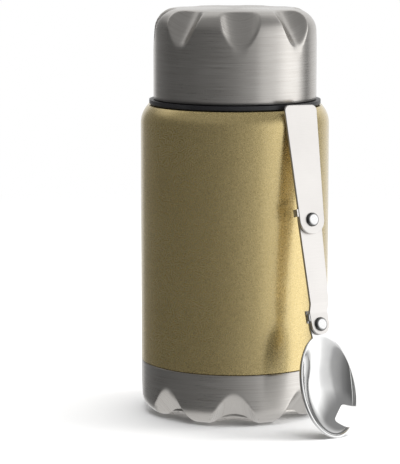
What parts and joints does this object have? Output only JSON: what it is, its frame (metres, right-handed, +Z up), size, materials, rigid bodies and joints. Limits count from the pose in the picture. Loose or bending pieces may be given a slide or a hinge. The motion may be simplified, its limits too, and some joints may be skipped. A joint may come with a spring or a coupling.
{
  "type": "insulated food jar",
  "caption": "Insulated steel food jar with a screw lid, a screw stopper with a push vent, and a folding spork that leans on it.",
  "frame": {"origin": "on the floor at the jar's own axis", "axes": "+Z up along the jar's axis, -Y towards the front, where the picture was taken from, +X to the right seen from the front"},
  "size_m": [0.0976, 0.1096, 0.1846],
  "materials": {
    "painted_steel": "satin metallic paint",
    "base_steel": "brushed round the axis",
    "lid_steel": "brushed round the axis",
    "vessel_steel": "satin",
    "satin_steel": "satin",
    "polished_steel": "polished",
    "rivet_steel": "polished",
    "spring_steel": "drawn wire",
    "black_plastic": "satin",
    "liner_plastic": "satin",
    "button_plastic": "semi-gloss",
    "silicone": "matte",
    "foam": "matte",
    "seal_glass": "matte",
    "getter_metal": "matte"
  },
  "bodies": {
    "jar": {"outer_shell": "painted_steel", "inner_vessel": "vessel_steel", "bottom_disc": "vessel_steel", "vacuum_seal": "seal_glass", "getter": "getter_metal", "base_cup": "base_steel", "neck_collar": "black_plastic"},
    "lid_ring": {"lid_seal": "silicone"},
    "lid": {"lid_shell": "lid_steel", "lid_liner": "liner_plastic", "lid_foam": "foam"},
    "stopper_ring": {"stopper_gasket": "silicone"},
    "stopper": {"stopper_body": "liner_plastic", "stopper_foam": "foam", "stopper_cover": "liner_plastic", "vent_spring": "spring_steel"},
    "vent": {"vent_button": "button_plastic", "vent_valve": "silicone"},
    "bowl": {"spork_bowl": "polished_steel", "lower_rivet": "rivet_steel", "lower_washer": "satin_steel"},
    "link": {"spork_link": "satin_steel", "upper_rivet": "rivet_steel", "upper_washer": "satin_steel"},
    "grip": {"spork_grip": "satin_steel"}
  },
  "joints": [
    {"name": "lid_lift", "type": "slide", "parent": "jar", "child": "lid_ring", "axis": [0, 0, 1], "range_m": [0, 0.036]},
    {"name": "lid_turn", "type": "hinge", "parent": "lid_ring", "child": "lid", "pos_m": [0, 0, 0.15], "axis": [0, 0, 1], "range_deg": [0, 1080]},
    {"name": "stopper_lift", "type": "slide", "parent": "jar", "child": "stopper_ring", "axis": [0, 0, 1], "range_m": [0, 0.009]},
    {"name": "stopper_turn", "type": "hinge", "parent": "stopper_ring", "child": "stopper", "pos_m": [0, 0, 0.15], "axis": [0, 0, 1], "range_deg": [0, 270]},
    {"name": "vent_press", "type": "slide", "parent": "stopper", "child": "vent", "axis": [0, 0, -1], "range_m": [0, 0.0015], "stiffness_N_per_m": 800, "deforming": ["vent_spring"]},
    {"name": "spork_lift", "type": "slide", "parent": "jar", "child": "bowl", "axis": [0.48, -0.72, 0.5012], "range_m": [0, 0.09]},
    {"name": "link_fold", "type": "hinge", "parent": "bowl", "child": "link", "pos_m": [0.0372, -0.0475, 0.04766], "axis": [-0.534, 0.7917, -0.2965], "range_deg": [0, 180]},
    {"name": "grip_fold", "type": "hinge", "parent": "link", "child": "grip", "pos_m": [0.03264, -0.03973, 0.09313], "axis": [-0.5436, 0.8074, -0.2292], "range_deg": [0, 180]}
  ],
  "couplings": [
    {"joint": "lid_lift", "follows": "lid_turn", "m_per_rad": 0.0019099},
    {"joint": "stopper_lift", "follows": "stopper_turn", "m_per_rad": 0.0019099}
  ]
}
